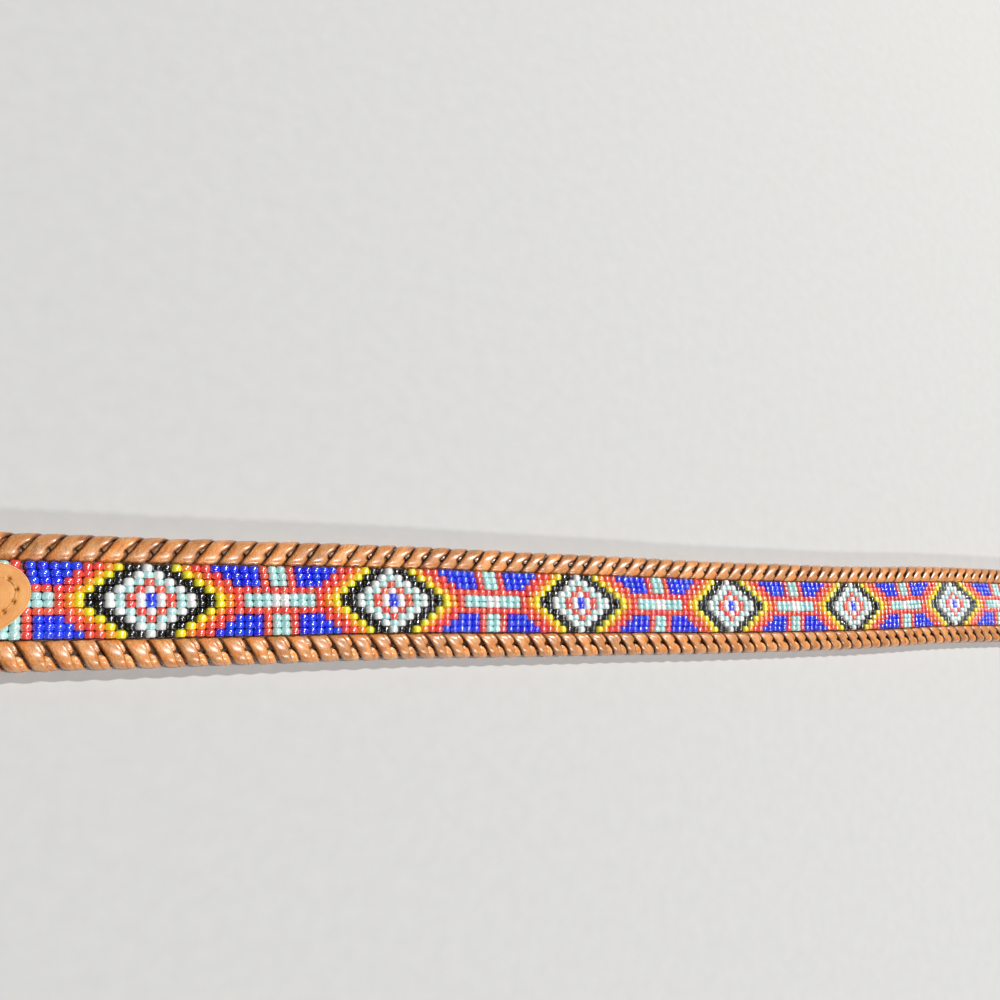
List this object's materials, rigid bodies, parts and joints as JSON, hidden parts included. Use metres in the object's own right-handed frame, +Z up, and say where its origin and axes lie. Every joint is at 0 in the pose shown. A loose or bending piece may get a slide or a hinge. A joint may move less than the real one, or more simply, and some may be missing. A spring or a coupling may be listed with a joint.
{
  "type": "beaded belt",
  "caption": "Leather waist belt with a loomed glass-bead face in a repeating diamond pattern, laced edges, stitched end tongues, a plain prong buckle and a punched tip.",
  "frame": {"origin": "middle of the belt's footprint, on the surface it lies on", "axes": "+X along the belt from the buckle to the tip, +Y across it to the far edge, +Z up out of the beaded face"},
  "size_m": [0.984, 0.041, 0.0083],
  "materials": {
    "strap_leather": "smooth, satin",
    "beads": "glossy, opaque",
    "lace": "waxed, half gloss",
    "tab_leather": "natural, matte",
    "buckle_metal": "plain, satin"
  },
  "bodies": {
    "root": {"strap": "strap_leather", "bead_band": "beads", "lacing_far": "lace", "lacing_near": "lace", "buckle_tab": "tab_leather", "tip_tab": "tab_leather", "buckle": "buckle_metal"}
  },
  "joints": []
}
